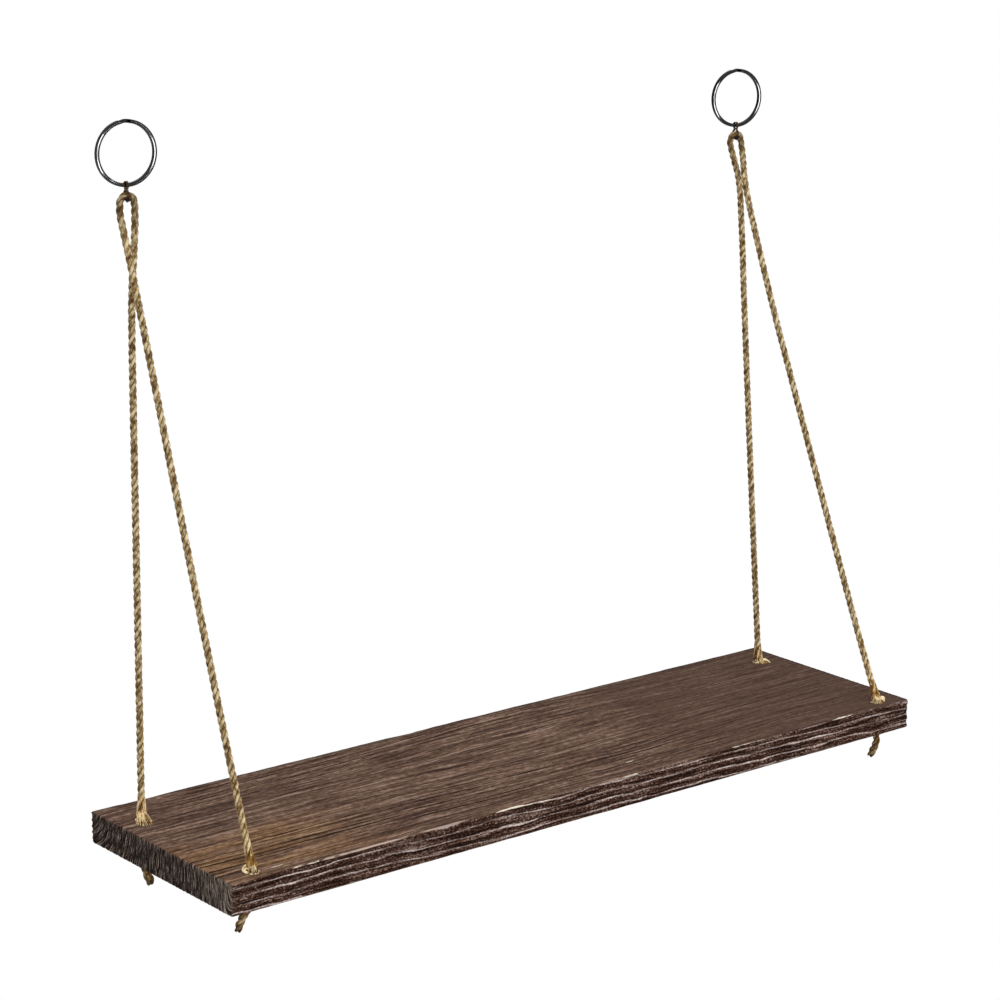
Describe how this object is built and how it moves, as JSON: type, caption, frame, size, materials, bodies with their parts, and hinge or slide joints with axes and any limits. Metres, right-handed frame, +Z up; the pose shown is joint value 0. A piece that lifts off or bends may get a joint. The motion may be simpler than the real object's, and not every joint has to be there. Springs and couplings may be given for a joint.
{
  "type": "hanging rope shelf",
  "caption": "Torched softwood board hung level on two doubled jute ropes, each tied with twine to a split ring that goes over a wall hook.",
  "frame": {"origin": "midway between the two wall hooks' seats, the highest points inside the two rings' eyes", "axes": "+X along the board to the viewer's right, +Y towards the wall, +Z up; the wall's face is the plane y = 4.2 mm"},
  "size_m": [0.51, 0.1414, 0.4227],
  "materials": {
    "torched_pine": "torched and wire-brushed, satin",
    "jute_rope": "three-strand laid jute, matt",
    "brown_twine": "waxed twine, matt",
    "black_nickel": "bright black nickel",
    "pale_glue": "set glue over frayed fibres"
  },
  "bodies": {
    "rings": {"left_ring": "black_nickel", "right_ring": "black_nickel"},
    "left_tie": {"left_tie": "brown_twine"},
    "right_tie": {"right_tie": "brown_twine"},
    "left_rope": {"left_rope": "jute_rope"},
    "right_rope": {"right_rope": "jute_rope"},
    "board": {"shelf_board": "torched_pine", "left_back_rope_end": "jute_rope", "left_front_rope_end": "jute_rope", "right_back_rope_end": "jute_rope", "right_front_rope_end": "jute_rope", "left_back_plug": "pale_glue", "left_front_plug": "pale_glue", "right_back_plug": "pale_glue", "right_front_plug": "pale_glue"}
  },
  "joints": [
    {"name": "shelf_swing", "type": "hinge", "parent": "rings", "child": "left_tie", "pos_m": [-0.224, 0, -0.03325], "axis": [-1, 0, 0], "range_deg": [0, 60]},
    {"name": "right_tie_swing", "type": "hinge", "parent": "rings", "child": "right_tie", "pos_m": [0.224, 0, -0.03325], "axis": [-1, 0, 0], "range_deg": [0, 60]},
    {"name": "left_rope_sway", "type": "hinge", "parent": "left_tie", "child": "left_rope", "pos_m": [-0.224, 0, -0.0432], "axis": [0, -1, 0], "range_deg": [-15, 15]},
    {"name": "right_rope_sway", "type": "hinge", "parent": "right_tie", "child": "right_rope", "pos_m": [0.224, 0, -0.0432], "axis": [0, -1, 0], "range_deg": [-15, 15]},
    {"name": "shelf_level", "type": "hinge", "parent": "left_rope", "child": "board", "pos_m": [-0.2378, -0.0769, -0.3816], "axis": [0, -1, 0], "range_deg": [-14.3, 14.3]}
  ],
  "couplings": [
    {"joint": "right_tie_swing", "follows": "shelf_swing", "ratio": 1},
    {"joint": "right_rope_sway", "follows": "left_rope_sway", "ratio": 1},
    {"joint": "shelf_level", "follows": "left_rope_sway", "ratio": -0.948}
  ]
}
